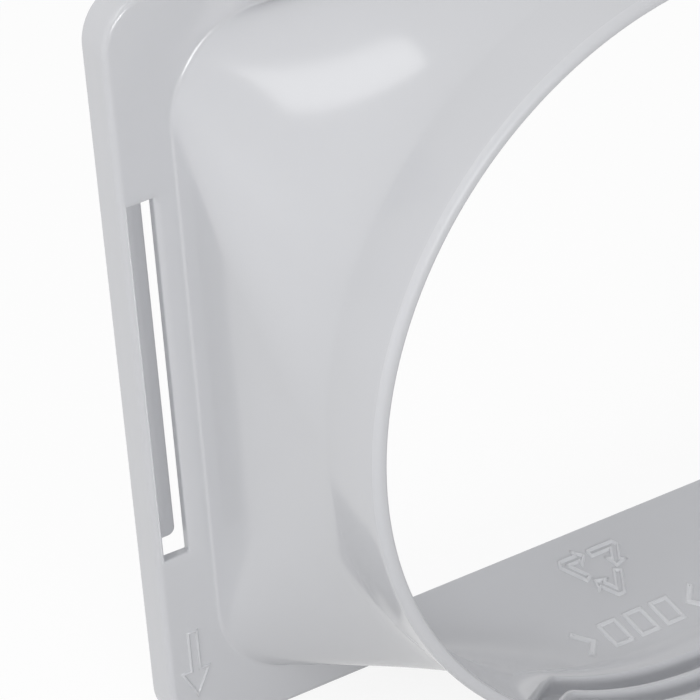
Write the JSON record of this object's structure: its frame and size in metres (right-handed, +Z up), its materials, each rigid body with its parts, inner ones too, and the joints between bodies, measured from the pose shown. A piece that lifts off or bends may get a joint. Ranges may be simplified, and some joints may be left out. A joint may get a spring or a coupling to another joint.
{
  "type": "exhaust hose adapter",
  "caption": "Moulded duct adapter that joins a round exhaust hose to a rectangular outlet, with a skirted plate, side slots with rail lips, and ribs at the collar's bottom.",
  "frame": {"origin": "on the collar's axis, in the plane where the skirt meets the unit", "axes": "+Z up as the adapter hangs on its unit, -Y along the collar's axis towards the hose, +X across the plate"},
  "size_m": [0.19, 0.0595, 0.155],
  "materials": {
    "adapter_plastic": "semi-gloss light grey ABS, as moulded"
  },
  "bodies": {
    "root": {"adapter_body": "adapter_plastic"}
  },
  "joints": []
}
